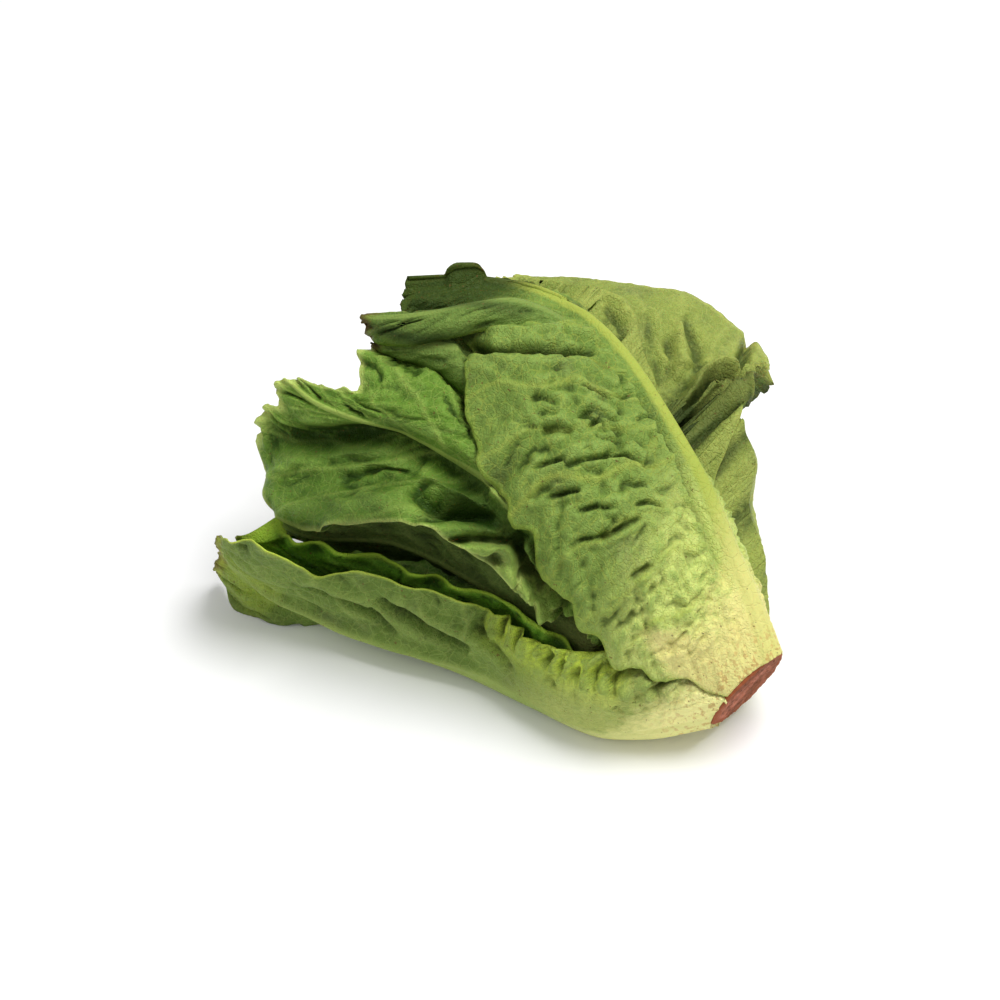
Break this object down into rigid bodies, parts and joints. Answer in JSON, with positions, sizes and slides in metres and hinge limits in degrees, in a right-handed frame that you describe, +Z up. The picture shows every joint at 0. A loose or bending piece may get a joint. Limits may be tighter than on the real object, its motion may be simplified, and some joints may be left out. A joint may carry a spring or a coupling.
{
  "type": "head of upright lettuce",
  "caption": "Loose head of upright, romaine-type lettuce lying on its side: crinkled green leaves with pale midribs round a short stem with a browned, flat cut end.",
  "frame": {"origin": "middle of the head's bounding box, on the surface that it lies on", "axes": "+Z up from the surface; +X towards the cut stem, so the leaf tips point to -X; -Y towards the low front leaf"},
  "size_m": [0.232, 0.2198, 0.1333],
  "materials": {
    "outer_leaf": "fresh crinkled green leaf blade with a soft sheen and a pale, smooth midrib",
    "mid_leaf": "paler green crinkled leaf blade with a soft sheen and a pale midrib",
    "heart_leaf": "pale yellow-green crinkled leaf blade with a soft sheen",
    "stem": "matt, dried brown cut face with a reddish rim; cream flesh beside it"
  },
  "bodies": {
    "root": {"stem_core": "stem", "leaf_top": "outer_leaf", "leaf_front": "outer_leaf", "leaf_right": "outer_leaf", "leaf_back": "outer_leaf", "leaf_back_low": "outer_leaf", "leaf_under": "outer_leaf", "leaf_upper_left": "outer_leaf", "leaf_upper_inner": "outer_leaf", "leaf_left": "outer_leaf", "leaf_front_inner": "outer_leaf", "leaf_front_mid": "outer_leaf", "leaf_mid_1": "mid_leaf", "leaf_mid_2": "mid_leaf", "leaf_mid_3": "mid_leaf", "leaf_mid_4": "mid_leaf", "leaf_heart_1": "heart_leaf", "leaf_heart_2": "heart_leaf", "leaf_heart_3": "heart_leaf", "leaf_heart_4": "heart_leaf"}
  },
  "joints": []
}
